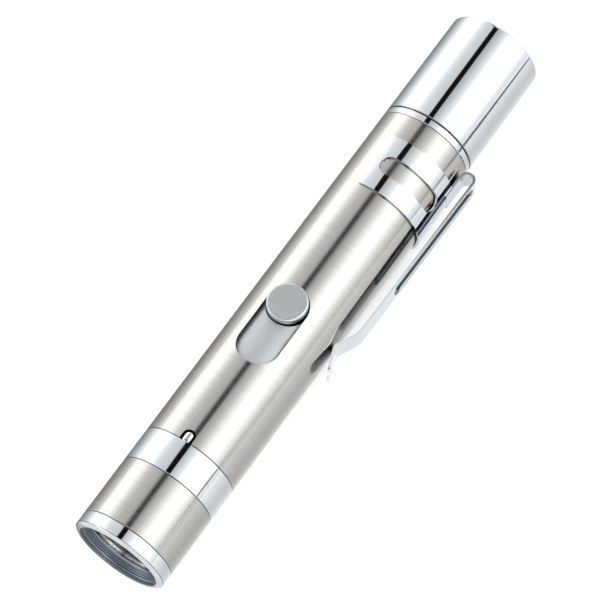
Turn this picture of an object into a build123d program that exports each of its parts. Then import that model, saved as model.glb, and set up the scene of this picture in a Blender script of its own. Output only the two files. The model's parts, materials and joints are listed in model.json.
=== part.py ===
from build123d import *
from math import cos, degrees, radians, sin, sqrt
import os

# Pocket penlight with a slide-and-press switch, a spring clip and a pull-off tail cap.
# It lies on its side: the light shines toward -X, the switch faces +Z and the clip is on the
# -Y side. The origin is on the barrel axis, in the plane of the front rim. Sizes are in mm.

# ---------------------------------------------------------------- lengths along the axis
bezel_length = 2.65
head_sleeve_length = 10.9
front_ring_length = 6.1
barrel_length = 68.4
tail_lip_length = 1.25
cap_gap = 0.16
cap_length = 20.9

# ---------------------------------------------------------------- diameters and walls
barrel_diameter = 17.0
barrel_wall = 0.45
head_sleeve_wall = 0.9
cap_wall = 0.9
cap_end_wall = 1.2
edge_break = 0.12
cap_end_round = 0.5

# ---------------------------------------------------------------- clearances
fine_gap = 0.02
press_gap = 0.03
slide_gap = 0.1
assembly_gap = 0.2
cut_margin = 0.5

# ---------------------------------------------------------------- front end
rim_width = 1.06
rim_depth = 0.45
rim_arc_depth_share = 0.24
rim_arc_width_share = 0.62
recess_depth = 0.8
thread_wall = 0.65
thread_pitch = 0.35
thread_depth = 0.14
thread_turns = 3
retaining_ring_lip = 0.5
retaining_ring_length = 0.6
retaining_ring_chamfer = 0.15
window_thickness = 1.4
seal_section = 0.7
reflector_flange = 0.8
reflector_depth = 6.0
reflector_wall = 0.45
reflector_heel = 1.0
reflector_throat_radius = 2.2
led_size = 2.8
led_thickness = 0.7
led_corner = 0.3
led_dome_root = 0.1
led_dome_arc_share = 0.72
led_dome_radius = 1.3
led_dome_height = 1.25
led_dome_flat = 0.25
led_board_thickness = 0.8
led_holder_length = 9.5
spigot_length = 3.9
ring_bore_wall = 1.05
barrel_spigot_length = 5.35
key_width = 2.0
key_length = 1.95
key_root = 0.5
key_proud = 0.12
key_end_round = 0.8
key_side_gap = 0.14

# ---------------------------------------------------------------- switch
slot_from_barrel_front = 16.75
slot_length = 15.5
slot_width = 7.5
plate_drop = 0.25
plate_overlap = 0.1
plate_thickness = 0.6
plate_end_margin = 1.0
plate_corner = 0.8
knob_slot_gap = 0.28
knob_running_fit = 0.17
knob_proud = 0.7
knob_edge_round = 0.35
knob_press_travel = 0.75
knob_shell = 0.8
knob_roof = 1.0
knob_ear_length = 1.0
knob_ear_width = 2.8
knob_ear_height = 0.7
stem_radius = 0.8
stem_root = 0.2
spring_wire = 0.3
spring_turns = 5
block_height = 2.7
block_floor = 0.4
block_side_wall = 0.88
block_end_wall = 1.3
bridge_thickness = 0.2
bridge_width = 3.0
bridge_span = 6.0
bridge_corner = 0.5
contact_gap = 0.05
pad_thickness = 0.1
pad_width = 1.4
pad_end_margin = 0.5
pad_offset = 2.0
rail_width = 1.1
track_end_wall = 1.5
track_ear_length = 3.0
track_ear_thickness = 1.0
screw_radius = 0.65
screw_head_radius = 1.1
screw_head_height = 0.7
screw_slot_width = 0.3
screw_tip_clearance = 0.43

# ---------------------------------------------------------------- power and electronics
board_thickness = 0.8
board_width = 12.0
board_tail_width = 9.0
board_tail_length = 7.0
board_setback = 0.8
chip_height = 1.1
chip_offset = 4.0
main_chip_length = 4.0
main_chip_width = 5.0
small_chip_size = 2.6
small_chip_offset_x = 6.0
small_chip_offset_y = 2.5
cradle_front_wall = 2.4
cradle_rear_wall = 8.4
cell_end_room = 0.4
cell_edge_round = 0.5
tab_thickness = 0.15
tab_width = 4.0
tab_reach = 2.0
lead_radius = 0.4
lead_offset = 2.2
lead_overlap = 2.0

# ---------------------------------------------------------------- tail and charging plug
tail_spigot_length = 7.0
cap_spigot_length = 4.7
cap_spigot_gap = 0.25
cap_spigot_chamfer = 0.3
cap_seal_section = 0.84
tail_bore_wall = 1.0
plug_width = 12.0
plug_height = 4.5
plug_wall = 0.3
plug_corner = 0.6
plug_reach = 12.5
plug_root = 5.0
latch_hole_reach = 5.6
latch_hole_length = 2.5
latch_hole_width = 2.0
latch_hole_offset = 2.5
tongue_height = 1.75
tongue_side_gap = 0.25
tongue_end_gap = 0.5
tongue_roof_gap = 0.05
plug_contact_width = 1.0
plug_contact_thickness = 0.1
plug_contact_overlap = 2.5
plug_contact_end_gap = 2.0
carrier_setback = 2.5
plug_contact_offsets = (-3.5, -1.0, 1.0, 3.5)

# ---------------------------------------------------------------- pocket clip
clip_thickness = 0.4
clip_band_from_tail = 4.75
clip_band_length = 10.35
clip_band_half_angle = 116.0
clip_band_sag = 0.13
clip_corner_round = 1.6
clip_window_width = 3.5
clip_window_offset = 0.1
clip_window_near_angle = 18.0
clip_window_far_angle = 101.0
clip_arm_width = 4.2
clip_fold_reach = 3.75
clip_fold_height = 2.4
clip_fold_radius = 1.1
clip_lift = 0.09
clip_tab_root = 2.0
clip_tab_straight = 0.8
clip_tab_radius = 4.0
clip_arm_length = 34.4
clip_arm_fall = 0.62
clip_nose_length = 4.0
clip_nose_gap = 0.06
clip_nose_radius = 1.2
clip_bend_radius = 3.0
clip_lip_length = 5.0
clip_lip_rise = 1.9
clip_tip_round = 1.68
clip_rib_length = 21.3
clip_rib_width = 1.15
clip_rib_height = 0.3
clip_rib_round = 0.06
clip_rib_from_fold = 2.4
clip_split_gap = 0.04

# ---------------------------------------------------------------- worked-out places
outer_radius = barrel_diameter / 2
bezel_end = bezel_length
head_end = bezel_end + head_sleeve_length
ring_end = head_end + front_ring_length
barrel_end = ring_end + barrel_length
lip_end = barrel_end + tail_lip_length
cap_start = lip_end + cap_gap
cap_end = cap_start + cap_length

recess_radius = outer_radius - rim_width
sleeve_bore_radius = outer_radius - head_sleeve_wall
head_spigot_radius = sleeve_bore_radius - press_gap
thread_radius = head_spigot_radius - thread_wall
bezel_spigot_end = head_end - spigot_length - assembly_gap

retaining_ring_start = recess_depth + thread_pitch * thread_turns
retaining_ring_bore = thread_radius - retaining_ring_lip
window_start = retaining_ring_start + retaining_ring_length
window_end = window_start + window_thickness
reflector_start = window_end + seal_section
reflector_end = reflector_start + reflector_depth
led_board_start = reflector_end + slide_gap
led_board_end = led_board_start + led_board_thickness
led_holder_end = led_board_end + led_holder_length

ring_bore_radius = head_spigot_radius - ring_bore_wall
barrel_bore_radius = outer_radius - barrel_wall
barrel_spigot_radius = barrel_bore_radius - press_gap
barrel_spigot_end = ring_end + barrel_spigot_length
tail_spigot_start = barrel_end - tail_spigot_length

slot_start = ring_end + slot_from_barrel_front
slot_end = slot_start + slot_length
knob_radius = slot_width / 2 - knob_slot_gap
knob_x = slot_end - slide_gap - knob_radius
slider_travel = slot_length - 2 * (slide_gap + knob_radius)
plate_half_width = slot_width / 2 + plate_overlap
plate_radius = barrel_bore_radius - plate_drop
plate_under_radius = plate_radius - plate_thickness
plate_bottom = sqrt(plate_under_radius ** 2 - (knob_ear_width / 2) ** 2)
plate_start = slot_start - plate_end_margin
plate_end = slot_end + slider_travel + plate_end_margin
block_bottom = plate_bottom - block_height
block_floor_top = block_bottom + block_floor
pocket_radius = knob_radius + slide_gap
block_half_width = pocket_radius + block_side_wall
block_half_length = knob_radius + knob_ear_length + slide_gap + block_end_wall
knob_bottom = plate_bottom - slide_gap - knob_ear_height
knob_top = outer_radius + knob_proud
knob_hollow_top = knob_top - knob_roof
bridge_top = block_bottom - assembly_gap
bridge_bottom = bridge_top - bridge_thickness
pad_top = bridge_bottom - knob_press_travel - contact_gap
board_top = pad_top - pad_thickness
board_bottom = board_top - board_thickness

rail_inner = block_half_width + slide_gap
rail_outer = rail_inner + rail_width
rail_top = min(
    sqrt((barrel_bore_radius - assembly_gap) ** 2 - rail_outer ** 2),
    sqrt(plate_under_radius ** 2 - plate_half_width ** 2) - slide_gap,
)
ledge_top = block_bottom - slide_gap
ledge_inner = bridge_span / 2 + 2 * assembly_gap
track_inner_start = knob_x - slider_travel - block_half_length - 2 * assembly_gap
track_inner_end = knob_x + block_half_length + 2 * assembly_gap
track_start = track_inner_start - track_end_wall
track_end = track_inner_end + track_end_wall
ear_top = board_top + track_ear_thickness
screw_y = rail_outer - screw_head_radius
screw_places = [
    (x, y)
    for x in (track_start - track_ear_length / 2, track_end + track_ear_length / 2)
    for y in (-screw_y, screw_y)
]

cell_radius = (board_bottom - assembly_gap + barrel_bore_radius - slide_gap) / 2
cell_z = board_bottom - assembly_gap - cell_radius
cradle_start = barrel_spigot_end + assembly_gap
cradle_end = tail_spigot_start - assembly_gap
cell_pocket_start = cradle_start + cradle_front_wall
cell_pocket_end = cradle_end - cradle_rear_wall
cell_start = cell_pocket_start + cell_end_room
cell_end = cell_pocket_end - cell_end_room
screw_inner_y = screw_y - screw_radius
screw_tip = cell_z + sqrt(max(cell_radius ** 2 - screw_inner_y ** 2, 0)) + screw_tip_clearance
board_start = cradle_start + board_setback
board_end = cradle_end + board_tail_length
lead_z = board_top + lead_radius

cap_bore_radius = outer_radius - cap_wall
cap_spigot_radius = cap_bore_radius - cap_spigot_gap
cap_spigot_end = lip_end + cap_spigot_length
cap_seal_radius = cap_bore_radius - press_gap - cap_seal_section / 2
cap_seal_x = lip_end + cap_spigot_length / 2
seal_groove_radius = cap_seal_radius - cap_seal_section / 2 - fine_gap
seal_groove_width = cap_seal_section + assembly_gap
tail_bore_radius = cap_spigot_radius - tail_bore_wall
plug_start = cap_spigot_end - plug_root
plug_end = cap_spigot_end + plug_reach
tongue_top = plug_height / 2 - plug_wall - tongue_roof_gap
tongue_bottom = tongue_top - tongue_height
plug_contact_start = board_end - plug_contact_overlap
carrier_start = tail_spigot_start + carrier_setback
latch_hole_x = cap_spigot_end + latch_hole_reach

clip_band_end = barrel_end - clip_band_from_tail
clip_band_start = clip_band_end - clip_band_length
clip_band_pinch = clip_band_sag * sin(radians(clip_band_half_angle - 90))
clip_band_radius = outer_radius + press_gap + clip_band_pinch
clip_tab_y = -(clip_band_radius + clip_band_sag + clip_thickness / 2)
clip_window_x = clip_band_start + clip_band_length / 2 - clip_window_offset
window_round_angle = degrees(clip_window_width / 2 / (clip_band_radius + clip_thickness))
window_near_angle = clip_window_near_angle + window_round_angle
window_far_angle = clip_window_far_angle - window_round_angle
clip_fold_x = clip_band_end + clip_fold_reach
clip_fold_inner_y = clip_tab_y - clip_lift
clip_fold_outer_y = clip_fold_inner_y - clip_fold_height
clip_bend_x = clip_fold_x - clip_arm_length
clip_bend_y = clip_fold_outer_y + clip_arm_fall
clip_nose_x = clip_bend_x - clip_nose_length
clip_nose_y = -(outer_radius + clip_nose_gap + clip_thickness / 2)
clip_tip_x = clip_nose_x - clip_lip_length
clip_tip_y = clip_nose_y - clip_lip_rise
clip_split_y = (clip_fold_inner_y + clip_fold_outer_y) / 2


def band_plane(angle):
    """Plane through the clip band's axis, its local Y pointing out at an angle from -Y toward +Z."""
    turn = radians(angle)
    across = (0, -sin(turn), -cos(turn))
    return Plane(origin=(0, -clip_band_sag, 0), x_dir=(1, 0, 0), z_dir=across)


def window_plane(angle):
    """Plane square to the band's radius through a window, at an angle from -Y toward +Z."""
    turn = radians(angle)
    outward = (0, -cos(turn), sin(turn))
    return Plane(origin=(clip_window_x, -clip_band_sag, 0), x_dir=(1, 0, 0), z_dir=outward)


def clip_strip():
    """The folded strip of the clip: tab, hairpin fold, arm, nose and lifted lip."""
    with BuildPart(mode=Mode.PRIVATE) as strip:
        with BuildSketch(Plane.XY.offset(-clip_arm_width / 2)):
            with BuildLine() as centre_line:
                FilletPolyline(
                    (clip_band_end - clip_tab_root, clip_tab_y),
                    (clip_band_end + clip_tab_straight, clip_tab_y),
                    (clip_fold_x, clip_fold_inner_y),
                    (clip_fold_x, clip_fold_outer_y),
                    (clip_bend_x, clip_bend_y),
                    (clip_nose_x, clip_nose_y),
                    (clip_tip_x, clip_tip_y),
                    radius=[
                        clip_tab_radius,
                        clip_fold_radius,
                        clip_fold_radius,
                        clip_bend_radius,
                        clip_nose_radius,
                    ],
                )
            trace(line_width=clip_thickness)
        extrude(amount=clip_arm_width)
    return strip.part


def write(part, name):
    """Label a finished piece and write its STEP file."""
    part.label = name
    export_step(part, f"parts/{name}.step")


os.makedirs("parts", exist_ok=True)

# ================================================================ head
# Turned front ring: rounded rim, smooth recess, internal thread, spigot inside the sleeve.
thread_profile = []
for turn in range(thread_turns):
    crest = recess_depth + turn * thread_pitch
    thread_profile += [(crest, thread_radius), (crest + thread_pitch / 2, thread_radius + thread_depth)]
with BuildPart() as bezel:
    with BuildSketch(Plane.XY):
        with BuildLine():
            ThreePointArc(
                (0, recess_radius),
                (rim_depth * rim_arc_depth_share, recess_radius + rim_width * rim_arc_width_share),
                (rim_depth, outer_radius),
            )
            Polyline(
                (rim_depth, outer_radius),
                (bezel_end - edge_break, outer_radius),
                (bezel_end, outer_radius - edge_break),
                (bezel_end, head_spigot_radius),
                (bezel_spigot_end, head_spigot_radius),
                (bezel_spigot_end, thread_radius),
                (retaining_ring_start, thread_radius),
                *reversed(thread_profile),
                (recess_depth, recess_radius),
                (0, recess_radius),
            )
        make_face()
    revolve(axis=Axis.X)
write(bezel.part, "bezel")

with BuildPart() as head_sleeve:
    with BuildSketch(Plane.YZ.offset(bezel_end)):
        Circle(outer_radius)
        Circle(sleeve_bore_radius, mode=Mode.SUBTRACT)
    extrude(amount=head_sleeve_length)
    outer_edges = head_sleeve.edges().filter_by(GeomType.CIRCLE).group_by(SortBy.RADIUS)[-1]
    chamfer(outer_edges, edge_break)
write(head_sleeve.part, "head_sleeve")

with BuildPart() as retaining_ring:
    with BuildSketch(Plane.YZ.offset(retaining_ring_start)):
        Circle(thread_radius - press_gap)
        Circle(retaining_ring_bore, mode=Mode.SUBTRACT)
    extrude(amount=retaining_ring_length)
    bore_edges = retaining_ring.edges().filter_by(GeomType.CIRCLE).group_by(SortBy.RADIUS)[0]
    chamfer(bore_edges.sort_by(Axis.X)[0], retaining_ring_chamfer)
write(retaining_ring.part, "retaining_ring")

with BuildPart() as window:
    with BuildSketch(Plane.YZ.offset(window_start)):
        Circle(thread_radius - press_gap)
    extrude(amount=window_thickness)
write(window.part, "window")

with BuildPart() as window_seal:
    with BuildSketch(Plane.XY):
        with Locations(((window_end + reflector_start) / 2, thread_radius - seal_section)):
            Circle((seal_section - fine_gap) / 2)
    revolve(axis=Axis.X)
write(window_seal.part, "window_seal")

# Bowl reflector: a flange against the seal and a parabola down to the LED.
bowl_radius = ring_bore_radius - press_gap - reflector_wall
bowl_rise = reflector_depth / (bowl_radius ** 2 - reflector_throat_radius ** 2)
bowl_points = []
for share in (0, 1 / 6, 1 / 3, 1 / 2, 2 / 3, 5 / 6, 1):
    radius = bowl_radius + (reflector_throat_radius - bowl_radius) * share
    depth = bowl_rise * (bowl_radius ** 2 - radius ** 2)
    bowl_points.append((reflector_start + depth, radius))
with BuildPart() as reflector:
    with BuildSketch(Plane.XY):
        with BuildLine():
            Spline(*bowl_points)
            Polyline(
                (reflector_end, reflector_throat_radius),
                (reflector_end, reflector_throat_radius + 2 * reflector_wall),
                (reflector_end - reflector_heel, ring_bore_radius - press_gap),
                (reflector_start + reflector_flange, ring_bore_radius - press_gap),
                (reflector_start + reflector_flange, thread_radius - press_gap),
                (reflector_start, thread_radius - press_gap),
                (reflector_start, bowl_radius),
            )
        make_face()
    revolve(axis=Axis.X)
write(reflector.part, "reflector")

with BuildPart() as led_board:
    with BuildSketch(Plane.YZ.offset(led_board_start)):
        Circle(ring_bore_radius - press_gap)
        with Locations((-lead_offset, lead_z), (lead_offset, lead_z)):
            Circle(lead_radius + press_gap, mode=Mode.SUBTRACT)
    extrude(amount=led_board_thickness)
write(led_board.part, "led_board")

with BuildPart() as led:
    with BuildSketch(Plane.YZ.offset(led_board_start - led_thickness)):
        RectangleRounded(led_size, led_size, led_corner)
    extrude(amount=led_thickness)
    dome_base = led_board_start - led_thickness
    with BuildSketch(Plane.XY):
        with BuildLine():
            Polyline(
                (dome_base - led_dome_height, 0),
                (dome_base + led_dome_root, 0),
                (dome_base + led_dome_root, led_dome_radius),
                (dome_base, led_dome_radius),
            )
            ThreePointArc(
                (dome_base, led_dome_radius),
                (dome_base - led_dome_arc_share * led_dome_height, led_dome_arc_share * led_dome_radius),
                (dome_base - led_dome_height, led_dome_flat),
            )
            Line((dome_base - led_dome_height, led_dome_flat), (dome_base - led_dome_height, 0))
        make_face()
    revolve(axis=Axis.X)
write(led.part, "led")

with BuildPart() as led_holder:
    with BuildSketch(Plane.YZ.offset(led_board_end)):
        Circle(ring_bore_radius - press_gap)
        with Locations((-lead_offset, lead_z), (lead_offset, lead_z)):
            Circle(2 * lead_radius, mode=Mode.SUBTRACT)
    extrude(amount=led_holder_length)
write(led_holder.part, "led_holder")

# ================================================================ front ring with its key
with BuildPart() as front_ring:
    with BuildSketch(Plane.XY):
        with BuildLine():
            Polyline(
                (head_end - spigot_length, ring_bore_radius),
                (head_end - spigot_length, head_spigot_radius),
                (head_end, head_spigot_radius),
                (head_end, outer_radius - edge_break),
                (head_end + edge_break, outer_radius),
                (ring_end - edge_break, outer_radius),
                (ring_end, outer_radius - edge_break),
                (ring_end, barrel_spigot_radius),
                (barrel_spigot_end, barrel_spigot_radius),
                (barrel_spigot_end, ring_bore_radius),
                close=True,
            )
        make_face()
    revolve(axis=Axis.X)
    with BuildPart(mode=Mode.PRIVATE) as key:
        with BuildSketch(Plane.YZ.offset(ring_end - key_root)):
            with Locations((0, outer_radius + key_proud - key_width / 2)):
                Circle(key_width / 2)
        extrude(amount=key_root + key_length)
        fillet(key.edges().filter_by(GeomType.CIRCLE), key_end_round)
    add(key.part)
write(front_ring.part, "front_ring")

# ================================================================ barrel
with BuildPart() as barrel:
    with BuildSketch(Plane.YZ.offset(ring_end)):
        Circle(outer_radius)
        Circle(barrel_bore_radius, mode=Mode.SUBTRACT)
    extrude(amount=barrel_length)
    outer_edges = barrel.edges().filter_by(GeomType.CIRCLE).group_by(SortBy.RADIUS)[-1]
    chamfer(outer_edges, edge_break)
    with BuildSketch(Plane.XY):
        with Locations(((slot_start + slot_end) / 2, 0)):
            SlotOverall(slot_length, slot_width)
        with Locations((ring_end + key_length + key_side_gap, 0)):
            SlotOverall(
                4 * key_width,
                key_width + 2 * key_side_gap,
                align=(Align.MAX, Align.CENTER),
            )
    extrude(amount=2 * outer_radius, mode=Mode.SUBTRACT)
write(barrel.part, "barrel")

# ================================================================ switch
with BuildPart() as slider_plate:
    with BuildSketch(Plane.YZ.offset(plate_start)):
        Circle(plate_radius)
        Circle(plate_under_radius, mode=Mode.SUBTRACT)
        Rectangle(2 * plate_half_width, plate_radius, align=(Align.CENTER, Align.MIN), mode=Mode.INTERSECT)
    extrude(amount=plate_end - plate_start)
    fillet(slider_plate.edges().filter_by(Axis.Z), plate_corner)
    with BuildSketch(Plane.XY):
        with Locations((knob_x, 0)):
            Circle(knob_radius + knob_running_fit)
    extrude(amount=outer_radius, mode=Mode.SUBTRACT)
write(slider_plate.part, "slider_plate")

# Carrier under the plate, curved to it, with a pocket for the knob and slots for the knob's ears.
with BuildPart() as slider_block:
    with BuildSketch(Plane.XY.offset(block_bottom)):
        with Locations((knob_x, 0)):
            Rectangle(2 * block_half_length, 2 * block_half_width)
    extrude(amount=outer_radius)
    with BuildSketch(Plane.YZ.offset(knob_x - block_half_length)):
        Circle(plate_under_radius - fine_gap)
    extrude(amount=2 * block_half_length, mode=Mode.INTERSECT)
    with BuildSketch(Plane.XY.offset(block_floor_top)):
        with Locations((knob_x, 0)):
            Circle(pocket_radius)
            Rectangle(2 * (knob_radius + knob_ear_length + slide_gap), knob_ear_width + 2 * slide_gap)
    extrude(amount=outer_radius, mode=Mode.SUBTRACT)
    with BuildSketch(Plane.XY.offset(block_bottom)):
        with Locations((knob_x, 0)):
            Circle(stem_radius + assembly_gap)
    extrude(amount=outer_radius, mode=Mode.SUBTRACT)
write(slider_block.part, "slider_block")

with BuildPart() as push_knob:
    with BuildSketch(Plane.XY.offset(knob_bottom)):
        with Locations((knob_x, 0)):
            Circle(knob_radius)
    extrude(amount=knob_top - knob_bottom)
    fillet(push_knob.faces().sort_by(Axis.Z)[-1].edges(), knob_edge_round)
    with BuildSketch(Plane.XY.offset(knob_bottom)):
        with Locations((knob_x, 0)):
            Rectangle(2 * (knob_radius + knob_ear_length), knob_ear_width)
    extrude(amount=knob_ear_height)
    with BuildSketch(Plane.XY.offset(knob_bottom)):
        with Locations((knob_x, 0)):
            Circle(knob_radius - knob_shell)
    extrude(amount=knob_hollow_top - knob_bottom, mode=Mode.SUBTRACT)
    with BuildSketch(Plane.XY.offset(bridge_top)):
        with Locations((knob_x, 0)):
            Circle(stem_radius)
    extrude(amount=knob_hollow_top + stem_root - bridge_top)
write(push_knob.part, "push_knob")

spring_radius = (stem_radius + knob_radius - knob_shell) / 2
spring_bottom = block_floor_top + spring_wire / 2 + fine_gap
spring_length = knob_hollow_top - block_floor_top - spring_wire - 2 * fine_gap
with BuildPart() as knob_spring:
    with BuildLine():
        coil = Helix(
            pitch=spring_length / spring_turns,
            height=spring_length,
            radius=spring_radius,
            center=(knob_x, 0, spring_bottom),
        )
    with BuildSketch(Plane(origin=coil @ 0, z_dir=coil % 0)):
        Circle(spring_wire / 2)
    sweep(path=coil, is_frenet=True)
write(knob_spring.part, "knob_spring")

with BuildPart() as contact_bridge:
    with BuildSketch(Plane.XY.offset(bridge_bottom)):
        with Locations((knob_x, 0)):
            RectangleRounded(bridge_width, bridge_span, bridge_corner)
    extrude(amount=bridge_thickness)
write(contact_bridge.part, "contact_bridge")

# Guide frame on the board: two rails, two ledges, end stops and screwed ears.
with BuildPart() as switch_track:
    with BuildSketch(Plane.XY.offset(board_top)):
        with Locations((track_start, 0)):
            Rectangle(track_end - track_start, 2 * rail_outer, align=(Align.MIN, Align.CENTER))
    extrude(amount=rail_top - board_top)
    with BuildSketch(Plane.XY.offset(board_top)):
        with Locations((track_inner_start, 0)):
            Rectangle(track_inner_end - track_inner_start, 2 * ledge_inner, align=(Align.MIN, Align.CENTER))
    extrude(amount=rail_top - board_top, mode=Mode.SUBTRACT)
    with BuildSketch(Plane.XY.offset(ledge_top)):
        with Locations((track_inner_start, 0)):
            Rectangle(track_inner_end - track_inner_start, 2 * rail_inner, align=(Align.MIN, Align.CENTER))
    extrude(amount=rail_top - ledge_top, mode=Mode.SUBTRACT)
    with BuildSketch(Plane.XY.offset(board_top)):
        for ear_start in (track_start - track_ear_length, track_end):
            with Locations((ear_start, 0)):
                Rectangle(track_ear_length, 2 * rail_outer, align=(Align.MIN, Align.CENTER))
        with Locations(*screw_places):
            Circle(screw_radius + press_gap, mode=Mode.SUBTRACT)
    extrude(amount=track_ear_thickness)
write(switch_track.part, "switch_track")

with BuildPart() as track_screws:
    with BuildSketch(Plane.XY.offset(screw_tip)):
        with Locations(*screw_places):
            Circle(screw_radius)
    extrude(amount=ear_top - screw_tip)
    with BuildSketch(Plane.XY.offset(ear_top)):
        with Locations(*screw_places):
            Circle(screw_head_radius)
    extrude(amount=screw_head_height)
    with BuildSketch(Plane.XY.offset(ear_top + screw_head_height / 2)):
        with Locations(*screw_places):
            Rectangle(2 * screw_radius, screw_slot_width)
            Rectangle(screw_slot_width, 2 * screw_radius)
    extrude(amount=screw_head_height, mode=Mode.SUBTRACT)
write(track_screws.part, "track_screws")

# ================================================================ electronics and cell
with BuildPart() as circuit_board:
    with BuildSketch(Plane.XY.offset(board_bottom)):
        with Locations((board_start, 0)):
            Rectangle(cradle_end - board_start, board_width, align=(Align.MIN, Align.CENTER))
            Rectangle(board_end - board_start, board_tail_width, align=(Align.MIN, Align.CENTER))
        with Locations(*screw_places):
            Circle(screw_radius + press_gap, mode=Mode.SUBTRACT)
    extrude(amount=board_thickness)
write(circuit_board.part, "circuit_board")

with BuildPart() as switch_pads:
    with BuildSketch(Plane.XY.offset(board_top)):
        with Locations((knob_x - slider_travel / 2, -pad_offset), (knob_x - slider_travel / 2, pad_offset)):
            Rectangle(slider_travel + bridge_width + 2 * pad_end_margin, pad_width)
    extrude(amount=pad_thickness)
write(switch_pads.part, "switch_pads")

chip_x = track_end + track_ear_length + chip_offset
with BuildPart() as board_chips:
    with BuildSketch(Plane.XY.offset(board_top)):
        with Locations((chip_x, 0)):
            Rectangle(main_chip_length, main_chip_width)
        with Locations(
            (chip_x + small_chip_offset_x, -small_chip_offset_y),
            (chip_x + small_chip_offset_x, small_chip_offset_y),
        ):
            Rectangle(small_chip_size, small_chip_size)
    extrude(amount=chip_height)
write(board_chips.part, "board_chips")

with BuildPart() as led_leads:
    with BuildSketch(Plane.YZ.offset(led_board_start)):
        with Locations((-lead_offset, lead_z), (lead_offset, lead_z)):
            Circle(lead_radius)
    extrude(amount=board_start + lead_overlap - led_board_start)
write(led_leads.part, "led_leads")

# Moulded cradle that fills the barrel round the cell and carries the board on its flat top.
with BuildPart() as battery_cradle:
    with BuildSketch(Plane.YZ.offset(cradle_start)):
        Circle(barrel_spigot_radius - press_gap)
        with Locations((0, board_bottom)):
            Rectangle(
                barrel_diameter,
                barrel_diameter,
                align=(Align.CENTER, Align.MIN),
                mode=Mode.SUBTRACT,
            )
    extrude(amount=cradle_end - cradle_start)
    with BuildSketch(Plane.YZ.offset(cell_pocket_start)):
        with Locations((0, cell_z)):
            Circle(cell_radius + slide_gap)
            Rectangle(cell_radius, barrel_diameter, align=(Align.CENTER, Align.MAX))
            Rectangle(cell_radius, barrel_diameter, align=(Align.CENTER, Align.MIN))
    extrude(amount=cell_pocket_end - cell_pocket_start, mode=Mode.SUBTRACT)
    with BuildSketch(Plane.XY.offset(board_bottom)):
        with Locations(*screw_places):
            Circle(screw_radius + press_gap)
    extrude(amount=screw_tip - assembly_gap - board_bottom, mode=Mode.SUBTRACT)
write(battery_cradle.part, "battery_cradle")

with BuildPart() as battery_cell:
    with BuildSketch(Plane.YZ.offset(cell_start)):
        with Locations((0, cell_z)):
            Circle(cell_radius)
    extrude(amount=cell_end - cell_start)
    fillet(battery_cell.edges().filter_by(GeomType.CIRCLE), cell_edge_round)
write(battery_cell.part, "battery_cell")

with BuildPart() as battery_tabs:
    with BuildSketch(Plane.XZ.offset(-tab_width / 2)):
        for tab_x in (cell_start - tab_thickness, cell_end):
            with Locations((tab_x, board_bottom)):
                Rectangle(tab_thickness, board_bottom - cell_z + tab_reach, align=(Align.MIN, Align.MAX))
    extrude(amount=tab_width)
write(battery_tabs.part, "battery_tabs")

# ================================================================ tail
with BuildPart() as tail_socket:
    with BuildSketch(Plane.XY):
        with BuildLine():
            Polyline(
                (tail_spigot_start, tail_bore_radius),
                (tail_spigot_start, barrel_spigot_radius),
                (barrel_end, barrel_spigot_radius),
                (barrel_end, outer_radius - edge_break),
                (barrel_end + edge_break, outer_radius),
                (lip_end - edge_break, outer_radius),
                (lip_end, outer_radius - edge_break),
                (lip_end, cap_spigot_radius),
                (cap_seal_x - seal_groove_width / 2, cap_spigot_radius),
                (cap_seal_x - seal_groove_width / 2, seal_groove_radius),
                (cap_seal_x + seal_groove_width / 2, seal_groove_radius),
                (cap_seal_x + seal_groove_width / 2, cap_spigot_radius),
                (cap_spigot_end - cap_spigot_chamfer, cap_spigot_radius),
                (cap_spigot_end, cap_spigot_radius - cap_spigot_chamfer),
                (cap_spigot_end, tail_bore_radius),
                close=True,
            )
        make_face()
    revolve(axis=Axis.X)
write(tail_socket.part, "tail_socket")

with BuildPart() as cap_seal:
    with BuildSketch(Plane.XY):
        with Locations((cap_seal_x, cap_seal_radius)):
            Circle(cap_seal_section / 2)
    revolve(axis=Axis.X)
write(cap_seal.part, "cap_seal")

with BuildPart() as plug_carrier:
    with BuildSketch(Plane.YZ.offset(carrier_start)):
        Circle(tail_bore_radius - press_gap)
    extrude(amount=cap_spigot_end - slide_gap - carrier_start)
    with BuildSketch(Plane.YZ.offset(plug_start)):
        RectangleRounded(plug_width + 2 * press_gap, plug_height + 2 * press_gap, plug_corner)
    extrude(amount=plug_root, mode=Mode.SUBTRACT)
    with BuildSketch(Plane.YZ.offset(carrier_start)):
        with Locations((0, tongue_bottom - 4 * plug_contact_thickness)):
            Rectangle(
                board_tail_width + assembly_gap,
                board_top + assembly_gap - tongue_bottom + 4 * plug_contact_thickness,
                align=(Align.CENTER, Align.MIN),
            )
    extrude(amount=plug_start - carrier_start, mode=Mode.SUBTRACT)
write(plug_carrier.part, "plug_carrier")

with BuildPart() as plug_shell:
    with BuildSketch(Plane.YZ.offset(plug_start)):
        RectangleRounded(plug_width, plug_height, plug_corner)
        RectangleRounded(
            plug_width - 2 * plug_wall,
            plug_height - 2 * plug_wall,
            plug_corner - plug_wall,
            mode=Mode.SUBTRACT,
        )
    extrude(amount=plug_end - plug_start)
    with BuildSketch(Plane.XY):
        with Locations((latch_hole_x, -latch_hole_offset), (latch_hole_x, latch_hole_offset)):
            Rectangle(latch_hole_length, latch_hole_width)
    extrude(amount=plug_height, both=True, mode=Mode.SUBTRACT)
write(plug_shell.part, "plug_shell")

with BuildPart() as plug_tongue:
    with BuildSketch(Plane.YZ.offset(plug_start)):
        with Locations((0, tongue_bottom)):
            Rectangle(
                plug_width - 2 * (plug_wall + tongue_side_gap),
                tongue_height,
                align=(Align.CENTER, Align.MIN),
            )
    extrude(amount=plug_end - tongue_end_gap - plug_start)
write(plug_tongue.part, "plug_tongue")

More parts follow.
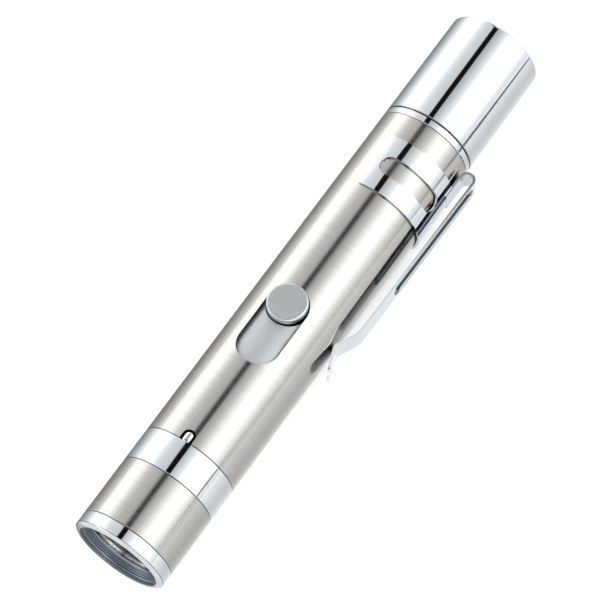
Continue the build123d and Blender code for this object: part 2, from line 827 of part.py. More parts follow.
with BuildPart() as plug_contacts:
    with BuildSketch(Plane.XY.offset(tongue_bottom - plug_contact_thickness)):
        for offset_y in plug_contact_offsets:
            with Locations((plug_contact_start, offset_y)):
                Rectangle(
                    plug_end - plug_contact_end_gap - plug_contact_start,
                    plug_contact_width,
                    align=(Align.MIN, Align.CENTER),
                )
    extrude(amount=plug_contact_thickness)
    with BuildSketch(Plane.XY.offset(tongue_bottom - plug_contact_thickness)):
        for offset_y in plug_contact_offsets:
            with Locations((plug_contact_start, offset_y)):
                Rectangle(2 * plug_contact_thickness, plug_contact_width, align=(Align.MIN, Align.CENTER))
    extrude(amount=board_bottom - tongue_bottom + plug_contact_thickness)
write(plug_contacts.part, "plug_contacts")

with BuildPart() as tail_cap:
    with BuildSketch(Plane.YZ.offset(cap_start)):
        Circle(outer_radius)
    extrude(amount=cap_length)
    fillet(tail_cap.edges().sort_by(Axis.X)[-1], cap_end_round)
    chamfer(tail_cap.edges().sort_by(Axis.X)[0], edge_break)
    with BuildSketch(Plane.YZ.offset(cap_start)):
        Circle(cap_bore_radius)
    extrude(amount=cap_length - cap_end_wall, mode=Mode.SUBTRACT)
write(tail_cap.part, "tail_cap")

# ================================================================ pocket clip
band_axis = Axis((0, -clip_band_sag, 0), (1, 0, 0))
with BuildPart() as clip_band:
    with BuildSketch(band_plane(clip_band_half_angle)):
        with Locations((clip_band_start, clip_band_radius)):
            Rectangle(clip_band_length, clip_thickness, align=(Align.MIN, Align.MIN))
    revolve(axis=band_axis, revolution_arc=2 * clip_band_half_angle)
    corners = clip_band.edges().filter_by(GeomType.LINE).filter_by(lambda e: e.length < 2 * clip_thickness)
    fillet(corners, clip_corner_round)
    for start_angle in (-window_near_angle, window_far_angle):
        with BuildSketch(band_plane(start_angle)):
            with Locations((clip_window_x, clip_band_radius - cut_margin)):
                Rectangle(
                    clip_window_width,
                    clip_thickness + 2 * cut_margin,
                    align=(Align.CENTER, Align.MIN),
                )
        revolve(axis=band_axis, revolution_arc=window_far_angle - window_near_angle, mode=Mode.SUBTRACT)
    for end_angle in (-window_far_angle, -window_near_angle, window_near_angle, window_far_angle):
        with BuildSketch(window_plane(end_angle)):
            Circle(clip_window_width / 2)
        extrude(amount=2 * outer_radius, mode=Mode.SUBTRACT)
    fold_half = split(
        clip_strip(),
        bisect_by=Plane(origin=(0, clip_split_y + clip_split_gap / 2, 0), z_dir=(0, 1, 0)),
        keep=Keep.TOP,
        mode=Mode.PRIVATE,
    )
    tab = fold_half.solids().sort_by(Axis.X)[-1]
    add(tab)
write(clip_band.part, "clip_band")

arm_start = Vector(clip_fold_x, clip_fold_outer_y, 0)
arm_finish = Vector(clip_bend_x, clip_bend_y, 0)
arm_way = (arm_finish - arm_start).normalized()
arm_outward = Vector(-arm_way.Y, arm_way.X, 0)
rib_centre = arm_start + arm_way * (clip_rib_length / 2 + clip_rib_from_fold)
rib_base = rib_centre + arm_outward * clip_thickness / 2
with BuildPart() as clip_arm:
    add(clip_strip())
    with BuildSketch(Plane.XY.offset(-clip_arm_width)):
        with Locations((clip_fold_x - clip_arm_length / 2, clip_split_y - clip_split_gap / 2)):
            Rectangle(2 * clip_arm_length, 2 * clip_fold_height, align=(Align.MIN, Align.MIN))
    extrude(amount=2 * clip_arm_width, mode=Mode.SUBTRACT)
    tip_edges = clip_arm.edges().filter_by(GeomType.LINE).filter_by(lambda e: e.length < 2 * clip_thickness)
    fillet(tip_edges.sort_by(Axis.X)[:2], clip_tip_round)
    with BuildSketch(Plane(origin=rib_base, x_dir=arm_way, z_dir=arm_outward)):
        SlotOverall(clip_rib_length, clip_rib_width)
    extrude(amount=clip_rib_height)
    fillet(clip_arm.faces().filter_by(GeomType.PLANE).sort_by(Axis.Y)[0].edges(), clip_rib_round)
write(clip_arm.part, "clip_arm")
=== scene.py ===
import json
import math

import bpy
from mathutils import Matrix, Vector


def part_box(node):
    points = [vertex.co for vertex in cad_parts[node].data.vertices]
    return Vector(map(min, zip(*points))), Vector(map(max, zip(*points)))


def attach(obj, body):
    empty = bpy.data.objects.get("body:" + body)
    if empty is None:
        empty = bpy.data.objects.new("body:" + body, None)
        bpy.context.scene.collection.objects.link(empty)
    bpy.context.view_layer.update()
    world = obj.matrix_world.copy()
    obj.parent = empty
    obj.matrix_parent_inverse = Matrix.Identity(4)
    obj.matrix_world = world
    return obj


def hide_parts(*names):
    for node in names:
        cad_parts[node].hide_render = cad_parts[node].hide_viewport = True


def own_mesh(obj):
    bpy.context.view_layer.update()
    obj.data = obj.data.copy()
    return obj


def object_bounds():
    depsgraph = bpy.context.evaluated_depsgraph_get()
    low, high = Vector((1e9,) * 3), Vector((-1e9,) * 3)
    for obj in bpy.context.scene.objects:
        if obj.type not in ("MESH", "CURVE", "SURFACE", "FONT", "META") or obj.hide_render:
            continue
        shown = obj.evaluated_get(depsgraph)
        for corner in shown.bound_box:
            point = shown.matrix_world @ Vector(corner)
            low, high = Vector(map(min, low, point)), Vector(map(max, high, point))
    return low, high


MM = 0.001
WHITE = (1, 1, 1)

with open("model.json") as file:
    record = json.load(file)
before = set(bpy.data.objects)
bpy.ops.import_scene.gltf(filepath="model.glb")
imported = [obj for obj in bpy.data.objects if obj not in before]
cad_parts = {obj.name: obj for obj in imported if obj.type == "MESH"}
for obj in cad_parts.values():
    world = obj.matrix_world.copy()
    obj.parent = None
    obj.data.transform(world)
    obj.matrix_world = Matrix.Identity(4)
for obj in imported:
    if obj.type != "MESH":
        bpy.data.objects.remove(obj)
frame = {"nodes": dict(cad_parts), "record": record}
cad_low, cad_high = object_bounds()
nodes = frame["nodes"]
scene = bpy.context.scene


# ---------------------------------------------------------------- node helpers
def new_material(name):
    """An empty node material: the tree, its shader and its object coordinates."""
    material = bpy.data.materials.new(name)
    material.use_nodes = True
    tree = material.node_tree
    tree.nodes.clear()
    output = tree.nodes.new("ShaderNodeOutputMaterial")
    shader = tree.nodes.new("ShaderNodeBsdfPrincipled")
    tree.links.new(shader.outputs["BSDF"], output.inputs["Surface"])
    coordinates = tree.nodes.new("ShaderNodeTexCoord")
    return material, tree, shader, coordinates.outputs["Object"]


NOISE_LOW = 0.3          # most noise values lie between these two
NOISE_HIGH = 0.7


def noise(tree, place, scale, detail=3.0, roughness=0.5):
    """Noise whose features are about 1 / scale metres long on each axis."""
    mapping = tree.nodes.new("ShaderNodeMapping")
    mapping.inputs["Scale"].default_value = scale
    tree.links.new(place, mapping.inputs["Vector"])
    texture = tree.nodes.new("ShaderNodeTexNoise")
    texture.inputs["Scale"].default_value = 1.0
    texture.inputs["Detail"].default_value = detail
    texture.inputs["Roughness"].default_value = roughness
    tree.links.new(mapping.outputs["Vector"], texture.inputs["Vector"])
    return texture.outputs["Fac"]


def spread(tree, value, low, high, start=NOISE_LOW, end=NOISE_HIGH):
    """Maps the range start to end, which unless given is that of a noise, to low to high."""
    node = tree.nodes.new("ShaderNodeMapRange")
    node.inputs["From Min"].default_value = start
    node.inputs["From Max"].default_value = end
    node.inputs["To Min"].default_value = low
    node.inputs["To Max"].default_value = high
    tree.links.new(value, node.inputs["Value"])
    return node.outputs["Result"]


def ramp(tree, value, stops):
    """A colour ramp through (place, colour) stops."""
    node = tree.nodes.new("ShaderNodeValToRGB")
    elements = node.color_ramp.elements
    while len(elements) < len(stops):
        elements.new(0.5)
    for element, (place, colour) in zip(elements, stops):
        element.position = place
        element.color = (*colour, 1.0)
    tree.links.new(value, node.inputs["Fac"])
    return node.outputs["Color"]


def bump(tree, shader, height, depth):
    """Raises the surface by a value from 0 to 1, times depth."""
    node = tree.nodes.new("ShaderNodeBump")
    node.inputs["Distance"].default_value = depth
    node.inputs["Strength"].default_value = 1.0
    tree.links.new(height, node.inputs["Height"])
    tree.links.new(node.outputs["Normal"], shader.inputs["Normal"])


def shade(colour, share):
    """A colour made darker or lighter."""
    return tuple(c * share for c in colour)


def calculate(tree, operation, first, second=0.0):
    """One sum on one or two values, each a socket or a number."""
    node = tree.nodes.new("ShaderNodeMath")
    node.operation = operation
    for socket, value in zip(node.inputs, (first, second)):
        if isinstance(value, (int, float)):
            socket.default_value = value
        else:
            tree.links.new(value, socket)
    return node.outputs["Value"]


def away_from(tree, value, centre):
    """How far a value is from centre, either way."""
    return calculate(tree, "ABSOLUTE", calculate(tree, "SUBTRACT", value, centre))


def hypotenuse(tree, first, second):
    """The length of the vector that has these two parts."""
    squares = [calculate(tree, "MULTIPLY", value, value) for value in (first, second)]
    return calculate(tree, "SQRT", calculate(tree, "ADD", squares[0], squares[1]))


def axis_distance(tree, place):
    """Distance of a point from the barrel axis."""
    parts = tree.nodes.new("ShaderNodeSeparateXYZ")
    tree.links.new(place, parts.inputs["Vector"])
    return hypotenuse(tree, parts.outputs["Y"], parts.outputs["Z"])


# Colour of the painted shade inside the tubes and rings.
INSIDE_SHADE_COLOUR = (0.02, 0.02, 0.022)


def darken(tree, socket, undarkened, dark=INSIDE_SHADE_COLOUR):
    """Where the mask is 1 a colour socket keeps what feeds it, and where it is 0 it turns dark."""
    colour = socket.links[0].from_socket
    blend = tree.nodes.new("ShaderNodeMixRGB")
    blend.inputs["Color1"].default_value = (*dark, 1.0)
    tree.links.new(colour, blend.inputs["Color2"])
    tree.links.new(undarkened, blend.inputs["Fac"])
    tree.links.new(blend.outputs["Color"], socket)


SHADE_FADE = 0.09 * MM    # the darkening fades in over this much radius
METAL_CLOUD = (140, 140, 140)
PLASTIC_CLOUD = (220, 220, 220)
GLASS_SMEAR = (260, 260, 260)
METAL_GLOSS = (0.82, 1.12)       # shares of the roughness, between the grain's lines and on them
PLASTIC_GLOSS = (0.85, 1.15)
CLOUD_GLOSS = 0.04       # share of the roughness that the clouds add or take
GRAIN_TURN = 0.25        # a quarter turn lays the highlight across the grain


def metal(name, colour, roughness, grain, grain_depth, variation=0.06, anisotropy=0.0, shade_radius=None):
    """Metal with a grain of fine lines: grain is the noise scale on each axis.

    Inside a given radius about the barrel axis, the colour is painted dark: painted shade on the
    inner surfaces.
    """
    material, tree, shader, place = new_material(name)
    shader.inputs["Metallic"].default_value = 1.0
    shader.inputs["Anisotropic"].default_value = anisotropy
    lines = noise(tree, place, grain, 4.0, 0.6)
    cloud = noise(tree, place, METAL_CLOUD, 2.0)
    tree.links.new(
        ramp(tree, lines, [
            (NOISE_LOW, shade(colour, 1 - variation)),
            (NOISE_HIGH, shade(colour, 1 + variation / 2)),
        ]),
        shader.inputs["Base Color"],
    )
    if shade_radius:
        outside = spread(tree, axis_distance(tree, place), 0.0, 1.0, shade_radius - SHADE_FADE, shade_radius)
        darken(tree, shader.inputs["Base Color"], outside)
    lined = spread(tree, lines, roughness * METAL_GLOSS[0], roughness * METAL_GLOSS[1])
    clouded = spread(tree, cloud, -CLOUD_GLOSS * roughness, CLOUD_GLOSS * roughness)
    tree.links.new(calculate(tree, "ADD", lined, clouded), shader.inputs["Roughness"])
    if anisotropy:
        tangent = tree.nodes.new("ShaderNodeTangent")
        tangent.direction_type = "RADIAL"
        tangent.axis = "X"
        tree.links.new(tangent.outputs["Tangent"], shader.inputs["Tangent"])
        shader.inputs["Anisotropic Rotation"].default_value = GRAIN_TURN
    bump(tree, shader, lines, grain_depth)
    return material


def plastic(name, colour, roughness, variation=0.15, grain=2600, depth=4e-6):
    """Moulded or coated surface with a fine texture."""
    material, tree, shader, place = new_material(name)
    shader.inputs["Metallic"].default_value = 0.0
    fine = noise(tree, place, (grain, grain, grain), 3.0)
    cloud = noise(tree, place, PLASTIC_CLOUD, 2.0)
    tree.links.new(
        ramp(tree, cloud, [
            (NOISE_LOW, shade(colour, 1 - variation)),
            (NOISE_HIGH, shade(colour, 1 + variation)),
        ]),
        shader.inputs["Base Color"],
    )
    tree.links.new(
        spread(tree, fine, roughness * PLASTIC_GLOSS[0], roughness * PLASTIC_GLOSS[1]),
        shader.inputs["Roughness"],
    )
    bump(tree, shader, fine, depth)
    return material


# ---------------------------------------------------------------- materials
STREAKS = (9000, 50, 50)
POLISH = (900, 300, 300)
INSIDE_SHADE_RADIUS = 8.47 * MM         # inside this radius the tubes and rings are painted dark: painted shade on their inner surfaces
CHROME = (0.555, 0.583, 0.608)

brushed_steel = metal(
    "brushed_steel", (0.414, 0.407, 0.391), 0.195, STREAKS, 1.2e-6, 0.07, 0.75, shade_radius=INSIDE_SHADE_RADIUS
)
polished_chrome = metal("polished_chrome", CHROME, 0.05, POLISH, 4e-7, 0.02)
ring_chrome = metal("ring_chrome", CHROME, 0.05, POLISH, 4e-7, 0.02, shade_radius=INSIDE_SHADE_RADIUS)
bezel_chrome = metal("bezel_chrome", CHROME, 0.05, POLISH, 4e-7, 0.02)
cap_chrome = metal("cap_chrome", CHROME, 0.05, POLISH, 4e-7, 0.02)
# A lighter copy of the clip's chrome for the arm: painted light on its face.
lit_arm_chrome = metal("lit_arm_chrome", (0.70, 0.73, 0.77), 0.06, POLISH, 6e-7, 0.03)
clip_chrome = metal("clip_chrome", CHROME, 0.06, POLISH, 6e-7, 0.03)
ring_steel = metal("ring_steel", (0.30, 0.31, 0.33), 0.2, (6000, 300, 300), 2e-6, 0.08)
reflector_mirror = metal("reflector_mirror", (0.05, 0.055, 0.06), 0.3, (500, 500, 500), 4e-7, 0.02)
heat_sink = metal("heat_sink_aluminium", (0.68, 0.69, 0.71), 0.35, (7000, 300, 300), 3e-6, 0.08)
contact_gold = metal("contact_gold", (0.83, 0.62, 0.27), 0.22, (2500, 2500, 400), 1e-6, 0.08)
lead_copper = metal("lead_copper", (0.72, 0.38, 0.22), 0.3, (400, 3000, 3000), 1e-6, 0.08)
tab_nickel = metal("tab_nickel", (0.66, 0.65, 0.62), 0.24, (400, 3500, 3500), 1e-6, 0.06)
screw_steel = metal("screw_steel", (0.56, 0.56, 0.56), 0.28, (3000, 3000, 600), 2e-6, 0.08)
satin_plate = metal("satin_plate", (0.482, 0.505, 0.528), 0.6, (300, 5000, 5000), 2e-6, 0.04)
satin_knob = metal("satin_knob", (0.505, 0.548, 0.55), 0.36, (260, 6000, 6000), 3e-6, 0.06)
cell_wrap = plastic("cell_wrap", (0.06, 0.16, 0.42), 0.3)
seal_rubber = plastic("seal_rubber", (0.02, 0.02, 0.02), 0.65)
board_green = plastic("board_green", (0.03, 0.2, 0.08), 0.4)
chip_black = plastic("chip_black", (0.03, 0.03, 0.03), 0.5)
cradle_plastic = plastic("cradle_plastic", (0.03, 0.03, 0.033), 0.5)
plug_plastic = plastic("plug_plastic", (0.75, 0.74, 0.7), 0.35)
led_resin = plastic("led_resin", (0.85, 0.68, 0.2), 0.15)


def parts_of(material):
    """A finished material's tree, shader, object coordinates, and those split into X, Y and Z."""
    tree = material.node_tree
    place = next(n for n in tree.nodes if n.type == "TEX_COORD").outputs["Object"]
    shader = next(n for n in tree.nodes if n.type == "BSDF_PRINCIPLED")
    split = tree.nodes.new("ShaderNodeSeparateXYZ")
    tree.links.new(place, split.inputs["Vector"])
    return tree, shader, place, split.outputs


def joint_and_shade_line(material, x, width, colour):
    """A dark line round the barrel axis at x: painted shade along a turned edge, and a dark joint
    at a seam.
    """
    tree, shader, _, split = parts_of(material)
    undarkened = spread(tree, away_from(tree, split["X"], x), 0.0, 1.0, LINE_CORE * width, width)
    darken(tree, shader.inputs["Base Color"], undarkened, colour)


def shade_throat(material):
    """Dulls the bore of the front rim and paints shade on the thread behind its recess."""
    tree, shader, place, split = parts_of(material)
    ahead = spread(tree, split["X"], 1.0, 0.0, RECESS_DEPTH - SHADE_FADE, RECESS_DEPTH)
    radius = axis_distance(tree, place)
    around = spread(tree, radius, 0.0, 1.0, RECESS_RADIUS - SHADE_FADE, RECESS_RADIUS)
    undarkened = calculate(tree, "MAXIMUM", ahead, around)
    darken(tree, shader.inputs["Base Color"], undarkened, SHADE_AND_SEAM_COLOUR)
    dulled = spread(
        tree, radius, THROAT_ROUGHNESS, 0.0,
        RECESS_RADIUS + SHADE_FADE / 2, RECESS_RADIUS + SHADE_FADE,
    )
    roughness = shader.inputs["Roughness"]
    tree.links.new(calculate(tree, "ADD", roughness.links[0].from_socket, dulled), roughness)


def shade_rib(material):
    """Paints shade on the arm of the clip round its pressed rib and along one edge of the rib's
    crest.

    The line on the crest is paint alone: no edge of the mesh lies under it.
    """
    tree, shader, _, split = parts_of(material)
    along = away_from(tree, split["X"], RIB_MIDDLE)
    beyond = calculate(tree, "MAXIMUM", calculate(tree, "SUBTRACT", along, RIB_HALF_RUN))
    from_line = away_from(tree, hypotenuse(tree, beyond, split["Z"]), RIB_LINE)
    off_line = spread(
        tree, from_line, 0.0, 1.0, RIB_LINE_CORE * RIB_LINE_WIDTH, RIB_LINE_WIDTH
    )
    from_crease = calculate(
        tree, "MAXIMUM", away_from(tree, split["Z"], -RIB_CREASE), beyond
    )
    off_crease = spread(
        tree, from_crease, 0.0, 1.0, RIB_CREASE_CORE * RIB_CREASE_WIDTH, RIB_CREASE_WIDTH
    )
    undarkened = calculate(tree, "MULTIPLY", off_line, off_crease)
    darken(tree, shader.inputs["Base Color"], undarkened, RIB_SHADE_COLOUR)


def shade_foot(material, level, height):
    """Paints shade on the knob where it meets the plate below it."""
    tree, shader, _, split = parts_of(material)
    undarkened = spread(tree, split["Z"], 0.0, 1.0, level + FOOT_CORE * height, level + height)
    darken(tree, shader.inputs["Base Color"], undarkened, FOOT_SHADE_COLOUR)


recess = next(m for m in frame["record"]["mounts"] if m["name"] == "front_recess")
RECESS_DEPTH = recess["dims"]["length_mm"] * MM
RECESS_RADIUS = recess["dims"]["r_mm"] * MM
# Colour of the painted shade in the throat and along the rim's crease, and of the dark joint at
# the cap's seam.
SHADE_AND_SEAM_COLOUR = (0.16, 0.19, 0.23)
THROAT_ROUGHNESS = 0.3
RIM_CREASE = 0.45 * MM   # where the rounded rim meets the straight side
CREASE_WIDTH = 0.09 * MM
LINE_CORE = 0.3          # the cores are the share of a line's width that is fully dark
RIB_SETBACK = 13.25 * MM         # from the arm's end at the fold to the middle of the rib
RIB_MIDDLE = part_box("clip_arm")[1].x - RIB_SETBACK
RIB_HALF_RUN = 10.07 * MM        # half the length of the rib's straight sides
RIB_LINE = 0.98 * MM     # from the rib's middle line to the line of painted shade round it
RIB_LINE_WIDTH = 0.58 * MM
RIB_LINE_CORE = 0.6
RIB_CREASE = 0.4 * MM    # from the rib's middle line to the line of painted shade on its crest
RIB_CREASE_WIDTH = 0.26 * MM
RIB_CREASE_CORE = 0.7
RIB_SHADE_COLOUR = (0.035, 0.05, 0.07)
CAP_SEAM_WIDTH = 0.2 * MM
FOOT_HEIGHT = 0.3 * MM
FOOT_CORE = 0.6
FOOT_SHADE_COLOUR = (0.015, 0.015, 0.015)
shade_throat(bezel_chrome)
# Painted shade: a dark line where the rounded rim meets the straight side.
joint_and_shade_line(bezel_chrome, RIM_CREASE, CREASE_WIDTH, SHADE_AND_SEAM_COLOUR)
joint_and_shade_line(cap_chrome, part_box("tail_cap")[0].x, CAP_SEAM_WIDTH, SHADE_AND_SEAM_COLOUR)
shade_rib(lit_arm_chrome)
shade_foot(satin_knob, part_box("slider_plate")[1].z, FOOT_HEIGHT)


def glass():
    """Clear window with a faint surface texture."""
    material, tree, shader, place = new_material("window_glass")
    shader.inputs["Transmission Weight"].default_value = 1.0
    shader.inputs["IOR"].default_value = 1.5
    smear = noise(tree, place, GLASS_SMEAR, 3.0)
    tree.links.new(spread(tree, smear, 0.0, 0.004), shader.inputs["Roughness"])
    tree.links.new(
        ramp(tree, smear, [(NOISE_LOW, (0.93, 0.96, 0.97)), (NOISE_HIGH, (0.98, 0.99, 1.0))]),
        shader.inputs["Base Color"],
    )
    return material


SLOT_MATERIALS = {
    "brushed_steel": brushed_steel,
    "polished_chrome": polished_chrome,
    "clip_chrome": clip_chrome,
    "ring_steel": ring_steel,
    "window_glass": glass(),
    "seal_rubber": seal_rubber,
    "reflector_mirror": reflector_mirror,
    "led_resin": led_resin,
    "heat_sink_aluminium": heat_sink,
    "board_green": board_green,
    "chip_black": chip_black,
    "contact_gold": contact_gold,
    "lead_copper": lead_copper,
    "cradle_plastic": cradle_plastic,
    "cell_wrap": cell_wrap,
    "tab_nickel": tab_nickel,
    "screw_steel": screw_steel,
    "satin_plate": satin_plate,
    "satin_knob": satin_knob,
    "plug_plastic": plug_plastic,
}
NODE_MATERIALS = {
    "front_ring": ring_chrome,
    "tail_socket": ring_chrome,
    "bezel": bezel_chrome,
    "tail_cap": cap_chrome,
    "clip_arm": lit_arm_chrome,
}
slots = {part["node"]: part["material_slot"] for part in frame["record"]["subparts"]}
for node, slot in slots.items():
    mesh = nodes[node].data
    mesh.materials.clear()
    mesh.materials.append(NODE_MATERIALS.get(node, SLOT_MATERIALS[slot]))


# ---------------------------------------------------------------- floor, lights and cards
def plane(name, centre, normal, along, width, length, material, taper=1.0):
    """A flat card: length runs along the vector along, and it faces the vector normal.

    Its width at the far end is taper times the width at the near end.
    """
    z = Vector(normal).normalized()
    x = Vector(along).normalized()
    y = z.cross(x)
    corners = [(-0.5, -0.5), (0.5, -0.5 * taper), (0.5, 0.5 * taper), (-0.5, 0.5)]
    points = [Vector(centre) + x * (u * length) + y * (v * width) for u, v in corners]
    mesh = bpy.data.meshes.new(name)
    mesh.from_pydata([tuple(p) for p in points], [], [(0, 1, 2, 3)])
    mesh.materials.append(material)
    card = bpy.data.objects.new(name, mesh)
    scene.collection.objects.link(card)
    return card


FLOOR_GAP = 0.02 * MM
FLOOR_SIZE = 6.0
FILL_ENERGY = 1.7
FILL_SPREAD = 120        # degrees: wide, so that its shadows are soft
floor_level = cad_low.z - FLOOR_GAP
middle = (cad_low + cad_high) / 2
floor_paint = plastic("floor_paint", (0.93, 0.93, 0.93), 0.6, 0.01, 90, 1e-5)
plane(
    "floor", (middle.x, middle.y, floor_level), (0, 0, 1), (1, 0, 0),
    FLOOR_SIZE, FLOOR_SIZE, floor_paint,
)

floor_fill = bpy.data.objects.new("floor_fill", bpy.data.lights.new("floor_fill", "SUN"))
floor_fill.data.energy = FILL_ENERGY
floor_fill.data.angle = math.radians(FILL_SPREAD)
floor_fill.visible_glossy = False
scene.collection.objects.link(floor_fill)


def only_in_reflections(card):
    """Hides a card from everything but the polished surfaces that mirror it."""
    card.visible_camera = False
    card.visible_diffuse = False
    card.visible_transmission = False
    card.visible_shadow = False


def glow(name):
    """A material that only shines, with its node tree and its emission node."""
    material = bpy.data.materials.new(name)
    material.use_nodes = True
    tree = material.node_tree
    tree.nodes.clear()
    output = tree.nodes.new("ShaderNodeOutputMaterial")
    emission = tree.nodes.new("ShaderNodeEmission")
    tree.links.new(emission.outputs["Emission"], output.inputs["Surface"])
    return material, tree, emission


# What the barrel mirrors close beside it: a painted reflection of the floor, darkest near the
# object as painted shade. Each stop is a place across the floor in mm and the brightness there.
BOUNCE = [
    (-600, 1.45), (-200, 1.45), (-68, 1.30), (-40, 1.18), (-27, 1.05), (-20, 0.94),
    (-14, 1.00), (-9, 1.05), (9, 0.25), (17, 0.31), (22, 0.38), (30, 0.57), (42, 0.80),
    (65, 1.04), (95, 1.28), (200, 1.40), (600, 1.40),
]
BOUNCE_REACH = 600
BOUNCE_PEAK = 1.5
BOUNCE_AHEAD = 1.25      # brightness ahead of the lens, where it is plain
BOUNCE_FADE = 10 * MM    # the plain part begins this far ahead of the lens
BOUNCE_LENGTH = 1200 * MM
painted_floor_glow, tree, emission = glow("painted_floor_glow")
parts = tree.nodes.new("ShaderNodeSeparateXYZ")
tree.links.new(tree.nodes.new("ShaderNodeTexCoord").outputs["Object"], parts.inputs["Vector"])
across = spread(tree, parts.outputs["Y"], 0.0, 1.0, -BOUNCE_REACH * MM, BOUNCE_REACH * MM)
stops = [
    ((y / BOUNCE_REACH + 1) / 2, shade(WHITE, level / BOUNCE_PEAK)) for y, level in BOUNCE
]
beside = tree.nodes.new("ShaderNodeMixRGB")
beside.inputs["Color1"].default_value = (*shade(WHITE, BOUNCE_AHEAD / BOUNCE_PEAK), 1.0)
tree.links.new(ramp(tree, across, stops), beside.inputs["Color2"])
tree.links.new(
    spread(tree, parts.outputs["X"], 0.0, 1.0, cad_low.x - BOUNCE_FADE, cad_low.x),
    beside.inputs["Fac"],
)
tree.links.new(beside.outputs["Color"], emission.inputs["Color"])
emission.inputs["Strength"].default_value = BOUNCE_PEAK
only_in_reflections(plane(
    "bounce", (middle.x, 0, floor_level + FLOOR_GAP / 2), (0, 0, 1), (1, 0, 0),
    2 * BOUNCE_REACH * MM, BOUNCE_LENGTH, painted_floor_glow,
))

# The dark edge of the side reflector, low beside the clip and falling toward the tail: a painted
# reflection, on a card seen only in reflections, with painted dark stretches.
EDGE_FRONT = Vector((42, -101, 25.5)) * MM
EDGE_REAR = Vector((141, -92, -6)) * MM
EDGE_WIDTH = 5.2 * MM
EDGE_TAPER = 2.2
edge_way = EDGE_REAR - EDGE_FRONT
EDGE_OVERRUN = 1.25      # the card is this much longer than from the one point to the other
EDGE_MARK = 42 * MM      # the middle of a short dark stretch of the edge
EDGE_MARK_REACH = 4.5 * MM
EDGE_MARK_FADE = 2 * MM
EDGE_SHADE_START = 100 * MM      # from here the edge darkens toward the tail
EDGE_SHADE_END = 128 * MM
EDGE_SHADE_COLOUR = (0.12, 0.125, 0.13)
edge_paint = plastic("edge_paint", (0.68, 0.69, 0.70), 0.6)
tree, shader, _, split = parts_of(edge_paint)
from_mark = away_from(tree, split["X"], EDGE_MARK)
undarkened = calculate(
    tree, "MULTIPLY",
    spread(tree, from_mark, 0.0, 1.0, EDGE_MARK_REACH, EDGE_MARK_REACH + EDGE_MARK_FADE),
    spread(tree, split["X"], 1.0, 0.0, EDGE_SHADE_START, EDGE_SHADE_END),
)
darken(tree, shader.inputs["Base Color"], undarkened, EDGE_SHADE_COLOUR)
only_in_reflections(plane(
    "reflector_edge", (EDGE_FRONT + EDGE_REAR) / 2, Vector((0, 0, 1)).cross(edge_way), edge_way,
    EDGE_WIDTH, EDGE_OVERRUN * edge_way.length, edge_paint, EDGE_TAPER,
))

# The studio: a white tent lit unevenly. The black stripe on the barrel is the reflection of the
# dark gap overhead. Each stop is an angle from straight up towards +Y, in
# degrees, and the brightness of the tent there.
TENT = [
    (-180, 1.20), (-93, 1.25), (-86, 1.30), (-81, 1.40), (-77, 1.60), (-70, 1.95),
    (-63, 2.40), (-55, 2.70), (-38, 2.65), (-30, 2.25), (-23, 1.78), (-17, 1.36), (-10, 1.14),
    (-4, 0.92), (3, 0.74), (9, 0.85), (16, 1.02), (23, 1.05), (30, 1.12), (37, 1.23), (44.5, 1.47),
    (52, 1.95), (60, 2.50), (86, 2.50), (91, 1.9), (96, 1.4), (180, 1.20),
]
TENT_PEAK = 3.0          # the ramp holds shares of this brightness
TENT_END = 1.25          # brightness of the tent's two ends, along the barrel
END_START = 0.72         # the ends take over from the sides between these two slants
END_FULL = 0.92
GAP_TURN = 25.0          # degrees from the barrel to the dark gap between the lights overhead
GAP_MIDDLE = -0.029      # its sideways place and half width, one unit above the object
GAP_HALF_WIDTH = 0.104
GAP_EDGE = 0.014
GAP_DARK = 0.012
BAR_MIDDLE = -0.13       # a dark bar across the tent overhead: its direction along the barrel
BAR_HALF_WIDTH = 0.07
BAR_EDGE = 0.02
BAR_DARK = 0.05
LOWEST = 0.02            # keeps the gap's division off zero at the horizon

world = bpy.data.worlds.new("studio")
world.use_nodes = True
sky = world.node_tree
background = sky.nodes["Background"]
direction = sky.nodes.new("ShaderNodeTexCoord")
parts = sky.nodes.new("ShaderNodeSeparateXYZ")
sky.links.new(direction.outputs["Generated"], parts.inputs["Vector"])
turn = calculate(sky, "ARCTAN2", parts.outputs["Y"], parts.outputs["Z"])
tent = ramp(
    sky,
    spread(sky, turn, 0.0, 1.0, -math.pi, math.pi),
    [((angle + 180) / 360, shade(WHITE, level / TENT_PEAK)) for angle, level in TENT],
)
end_on = calculate(sky, "ABSOLUTE", parts.outputs["X"])
mix = sky.nodes.new("ShaderNodeMixRGB")
sky.links.new(spread(sky, end_on, 0.0, 1.0, END_START, END_FULL), mix.inputs["Fac"])
sky.links.new(tent, mix.inputs["Color1"])
mix.inputs["Color2"].default_value = (*shade(WHITE, TENT_END / TENT_PEAK), 1.0)
sky.links.new(mix.outputs["Color"], background.inputs["Color"])

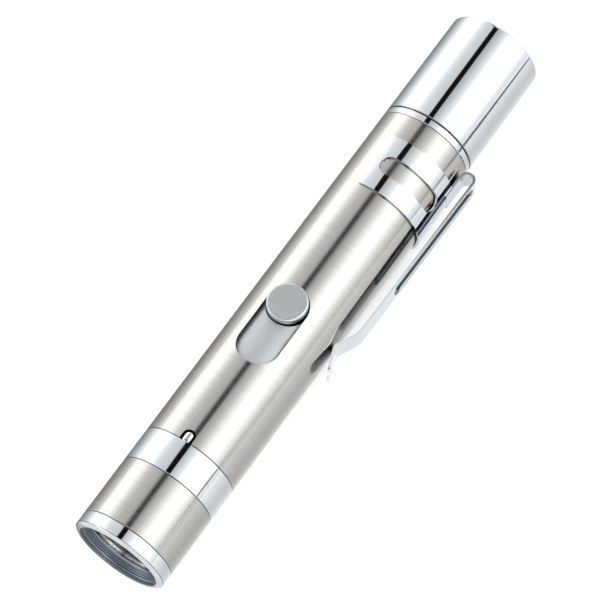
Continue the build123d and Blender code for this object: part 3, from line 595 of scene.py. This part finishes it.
sideways = calculate(
    sky, "SUBTRACT", parts.outputs["Y"],
    calculate(sky, "MULTIPLY", parts.outputs["X"], math.tan(math.radians(GAP_TURN))),
)
height = calculate(sky, "MAXIMUM", parts.outputs["Z"], LOWEST)
off_gap = away_from(sky, calculate(sky, "DIVIDE", sideways, height), GAP_MIDDLE)
lit = spread(sky, off_gap, GAP_DARK, 1.0, GAP_HALF_WIDTH - GAP_EDGE, GAP_HALF_WIDTH + GAP_EDGE)
off_bar = away_from(sky, parts.outputs["X"], BAR_MIDDLE)
clear = spread(sky, off_bar, BAR_DARK, 1.0, BAR_HALF_WIDTH - BAR_EDGE, BAR_HALF_WIDTH + BAR_EDGE)
sky.links.new(
    calculate(sky, "MULTIPLY", calculate(sky, "MULTIPLY", lit, clear), TENT_PEAK),
    background.inputs["Strength"],
)
scene.world = world

# ---------------------------------------------------------------- camera
CAMERA_ELEVATION = 64.44
CAMERA_AZIMUTH = -141.07
CAMERA_ROLL = -5.15
CAMERA_DISTANCE = 512.74 * MM
CAMERA_LENS = 187.24
AIM = Vector((53.10, 1.21, 0.037)) * MM      # inside the light, a little ahead of its middle

elevation = math.radians(CAMERA_ELEVATION)
azimuth = math.radians(CAMERA_AZIMUTH)
back = Vector((
    math.cos(azimuth) * math.cos(elevation),
    math.sin(azimuth) * math.cos(elevation),
    math.sin(elevation),
))
level_right = Vector((0, 0, 1)).cross(back).normalized()
level_up = back.cross(level_right)
roll = math.radians(CAMERA_ROLL)
right = level_right * math.cos(roll) + level_up * math.sin(roll)
up = back.cross(right)
camera_data = bpy.data.cameras.new("camera")
camera_data.lens = CAMERA_LENS
camera_data.sensor_width = 36.0
camera_data.clip_start = 0.01
camera_data.clip_end = 50.0
camera = bpy.data.objects.new("camera", camera_data)
scene.collection.objects.link(camera)
camera.matrix_world = (
    Matrix.Translation(AIM + back * CAMERA_DISTANCE)
    @ Matrix((right, up, back)).transposed().to_4x4()
)
scene.camera = camera
scene.view_settings.view_transform = "Standard"
scene.view_settings.look = "None"

# ---------------------------------------------------------------- knob's spring
# It shortens as the knob is pressed; a copy attached to the slider stands in for the rigid node,
# which is hidden.
rigid_spring = nodes["knob_spring"]
soft_spring = rigid_spring.copy()
soft_spring.data = rigid_spring.data.copy()
soft_spring.name = "knob_spring_soft"
for key in list(soft_spring.keys()):
    del soft_spring[key]
soft_spring.parent = None
soft_spring.matrix_world = rigid_spring.matrix_world.copy()
scene.collection.objects.link(soft_spring)
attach(soft_spring, "slider")
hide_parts("knob_spring")
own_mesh(soft_spring)
